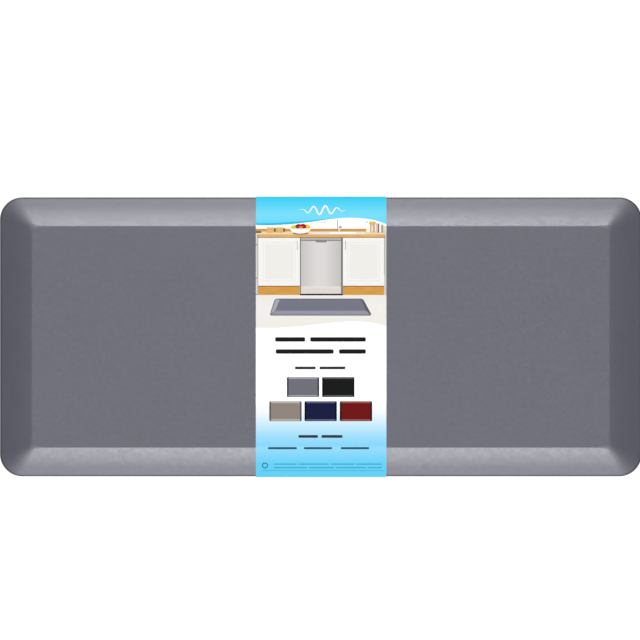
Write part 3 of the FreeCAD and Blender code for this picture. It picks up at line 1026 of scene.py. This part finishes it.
INK_COLOURS = {
    "paper": (254, 254, 254), "carcass": (246, 245, 242), "panel": (239, 238, 233),
    "groove": (228, 227, 221), "groove_soft": (234, 233, 228), "handle": (178, 176, 174),
    "wood_dark": (140, 90, 44), "box_lid": (238, 205, 148), "niche": (122, 118, 115),
    "steel_low": (222, 217, 211), "steel_dark": (182, 179, 177), "steel_shade": (138, 135, 133),
    "sink": (241, 229, 218), "lever": (84, 84, 104), "bowl": (249, 243, 234),
    "lime": (206, 212, 52), "yellow": (248, 196, 38), "orange": (232, 120, 40),
    "red": (168, 22, 32), "jar": (214, 176, 140),
    "straw": (226, 190, 92), "blush": (222, 202, 190), "brown": (150, 104, 78),
    "black": (22, 22, 24), "right_end": (206, 205, 199), "text": (52, 54, 58),
    "text_blue": (40, 84, 106), "note": (58, 150, 190), "sky": (98, 216, 254),
    "wave": (38, 192, 238), "mat_rim": (92, 94, 105), "mat_left": (168, 169, 179),
    "mat_front": (150, 149, 163), "mat_foot": (118, 119, 131), "mat_field": (117, 119, 134),
}
INKS = {name: plain_ink(name, colour) for name, colour in INK_COLOURS.items()}

WOOD_COLOURS = {
    "plinth": ((222, 166, 80), (204, 146, 64)), "back": ((216, 164, 98), (196, 142, 78)),
    "worktop": ((247, 222, 176), (236, 206, 154)), "edge": ((228, 186, 118), (212, 164, 96)),
    "box": ((230, 188, 122), (216, 172, 104)),
}
WOODS = {name: wood_ink(name, light, dark) for name, (light, dark) in WOOD_COLOURS.items()}


# ---------------------------------------------------------------- stage, light and camera
LENS = 300
SENSOR = 36
VIEW_WIDTH = 1.0035
AIM = Vector((-1.25 * MM, 26.4 * MM, 5 * MM))
LIGHT_DISTANCE = 8.5
LIGHT_SHIFT = -0.006
LIGHT_POWER = 279
LIGHT_STRIPS = ((27, (5.5, 1.25)), (35, (2.6, 3.5)))  # degrees from straight above, size in metres
SURROUND = 0.14
BACKDROP = 0.94
FLOOR_ALBEDO = 0.12
FLOOR_GLOW = 0.93
FLOOR_SIZE = 120
FLOOR_GAP = 0.05 * MM
VIEW_REACH = 100


def make_stage():
    """Pale floor under the mat, wide enough for low views."""
    bpy.ops.mesh.primitive_plane_add(size=FLOOR_SIZE, location=(0, 0, CARD_LOW.z - FLOOR_GAP))
    floor = bpy.context.object
    floor.name = "pale_floor"
    grey = (FLOOR_ALBEDO, FLOOR_ALBEDO, FLOOR_ALBEDO, 1)
    shade = Shade("pale_floor", grey, 0.9, Specular_IOR_Level=0.1)
    shade.set("Base Color", shade.vary(shade.noise(1.5, 2), grey, 0.006))
    shade.set("Emission Color", (1, 1, 1, 1))
    shade.set("Emission Strength", FLOOR_GLOW)
    floor.data.materials.append(shade.material)


def soft_box(name, place, size, power):
    """Rectangular soft light that points at the mat and doesn't show itself."""
    light = bpy.data.lights.new(name, "AREA")
    light.shape = "RECTANGLE"
    light.size, light.size_y = size
    light.energy = power
    lamp = bpy.data.objects.new(name, light)
    bpy.context.scene.collection.objects.link(lamp)
    lamp.location = place
    lamp.rotation_euler = (-place).to_track_quat("-Z", "Y").to_euler()
    lamp.visible_camera = False


def make_lights():
    """Soft lights over the long sides only, so that those borders shine and the ends stay dark."""
    for side in (1, -1):
        for angle, size in LIGHT_STRIPS:
            tilt = math.radians(angle)
            place = Vector((LIGHT_SHIFT, side * math.sin(tilt), math.cos(tilt))) * LIGHT_DISTANCE
            soft_box(f"strip_{angle}_{side}", place, size, LIGHT_POWER)


def make_surround():
    """Dim even light from all round, behind it a backdrop as pale as the floor."""
    world = bpy.data.worlds.new("surround")
    world.use_nodes = True
    tree = world.node_tree
    sky = tree.nodes["Background"].inputs
    sky["Color"].default_value = (1, 1, 1, 1)
    seen = tree.nodes.new("ShaderNodeLightPath").outputs["Is Camera Ray"]
    strength = tree.nodes.new("ShaderNodeMapRange")
    strength.inputs["To Min"].default_value = SURROUND
    strength.inputs["To Max"].default_value = BACKDROP
    tree.links.new(seen, strength.inputs["Value"])
    tree.links.new(strength.outputs["Result"], sky["Strength"])
    bpy.context.scene.world = world
    bpy.context.scene.view_settings.view_transform = "Standard"


def make_camera():
    """Long lens straight above, so that the mat's width fills the picture."""
    camera = bpy.data.objects.new("camera", bpy.data.cameras.new("camera"))
    bpy.context.scene.collection.objects.link(camera)
    camera.data.lens = LENS
    camera.data.sensor_width = SENSOR
    camera.location = AIM + Vector((0, 0, VIEW_WIDTH * LENS / SENSOR))
    camera.data.clip_end = VIEW_REACH
    bpy.context.scene.camera = camera


def main():
    make_stage()
    make_lights()
    make_surround()
    make_camera()
    make_skin()
    make_foam()
    make_base()
    make_card()
    dress_tape()
    print_header()
    print_kitchen()
    print_swatches()
    print_foot()
    print_text_bars()


main()
